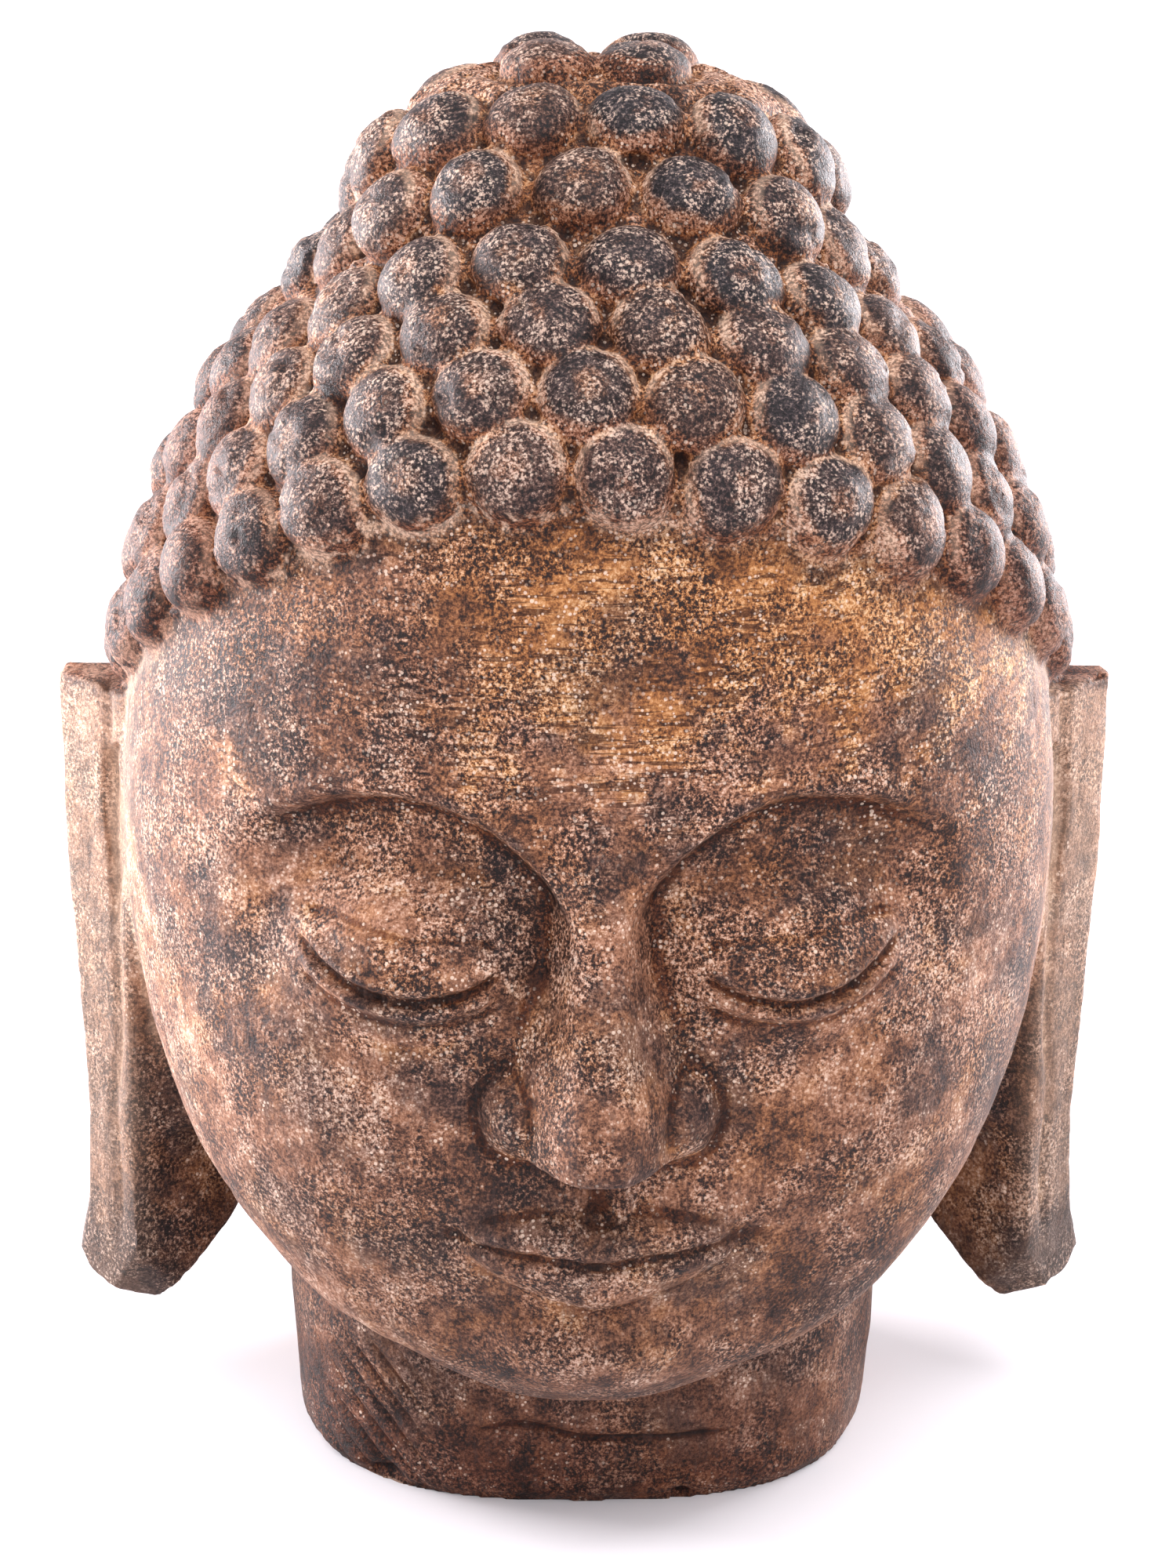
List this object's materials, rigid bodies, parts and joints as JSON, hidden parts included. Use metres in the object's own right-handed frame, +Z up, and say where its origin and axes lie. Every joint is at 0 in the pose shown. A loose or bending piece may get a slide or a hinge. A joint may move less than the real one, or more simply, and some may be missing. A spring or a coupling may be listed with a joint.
{
  "type": "stone buddha head",
  "caption": "Carved stone head of a Buddha with closed eyes, hair in round curls and long ear lobes, standing on the flat cut of its neck; a decorative sculpture.",
  "frame": {"origin": "on the plane of the flat base, under the middle of the head's bounding box", "axes": "+Z up from the base to the crown, the face looks along -Y, +X is the side of the head to the right of someone facing it"},
  "size_m": [0.181, 0.1762, 0.2433],
  "materials": {
    "stone": "speckled brown stone, worn dark on the raised curls, with ochre dirt in the hollows"
  },
  "bodies": {
    "root": {"buddha_head": "stone"}
  },
  "joints": []
}
